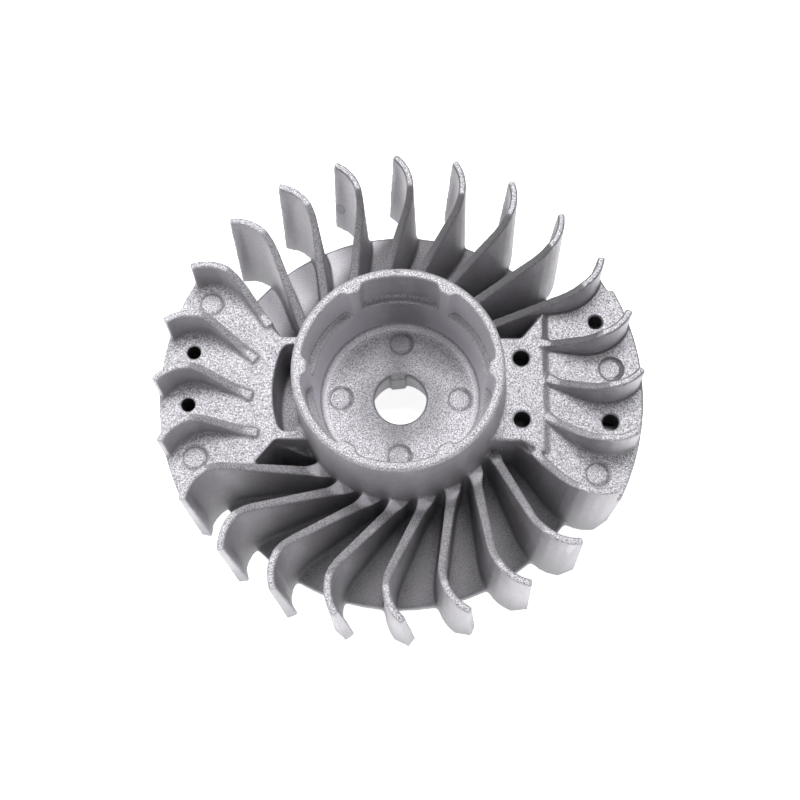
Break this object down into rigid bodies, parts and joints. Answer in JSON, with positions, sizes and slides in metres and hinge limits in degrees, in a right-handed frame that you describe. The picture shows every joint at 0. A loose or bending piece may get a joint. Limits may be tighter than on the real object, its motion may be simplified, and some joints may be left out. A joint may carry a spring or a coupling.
{
  "type": "magneto flywheel",
  "caption": "Die-cast magneto flywheel with curved fan blades, a starter cup, a keyed taper bore, cast-in pole shoes with a magnet, and a counterweight.",
  "frame": {"origin": "on the crankshaft's axis, at the back plane that faces the engine and that the flywheel lies on", "axes": "+Z along the crankshaft's axis, out of the starter cup; +X towards the middle of the block that holds the pole shoes and the magnet; -X towards the counterweight"},
  "size_m": [0.1082, 0.1082, 0.0383],
  "materials": {
    "cast_aluminium": "shot-blasted die casting",
    "sheet_steel": "sheared electrical steel",
    "rivet_steel": "plain steel",
    "magnet_alloy": "dark cast magnet alloy",
    "weight_steel": "plain steel"
  },
  "bodies": {
    "root": {"flywheel_casting": "cast_aluminium", "upper_shoe_sheet_01": "sheet_steel", "upper_shoe_sheet_02": "sheet_steel", "upper_shoe_sheet_03": "sheet_steel", "upper_shoe_sheet_04": "sheet_steel", "upper_shoe_sheet_05": "sheet_steel", "upper_shoe_sheet_06": "sheet_steel", "upper_shoe_sheet_07": "sheet_steel", "upper_shoe_sheet_08": "sheet_steel", "upper_shoe_sheet_09": "sheet_steel", "upper_shoe_sheet_10": "sheet_steel", "lower_shoe_sheet_01": "sheet_steel", "lower_shoe_sheet_02": "sheet_steel", "lower_shoe_sheet_03": "sheet_steel", "lower_shoe_sheet_04": "sheet_steel", "lower_shoe_sheet_05": "sheet_steel", "lower_shoe_sheet_06": "sheet_steel", "lower_shoe_sheet_07": "sheet_steel", "lower_shoe_sheet_08": "sheet_steel", "lower_shoe_sheet_09": "sheet_steel", "lower_shoe_sheet_10": "sheet_steel", "upper_shoe_rivet_1": "rivet_steel", "upper_shoe_rivet_2": "rivet_steel", "lower_shoe_rivet_1": "rivet_steel", "lower_shoe_rivet_2": "rivet_steel", "magnet": "magnet_alloy", "counterweight": "weight_steel"}
  },
  "joints": []
}
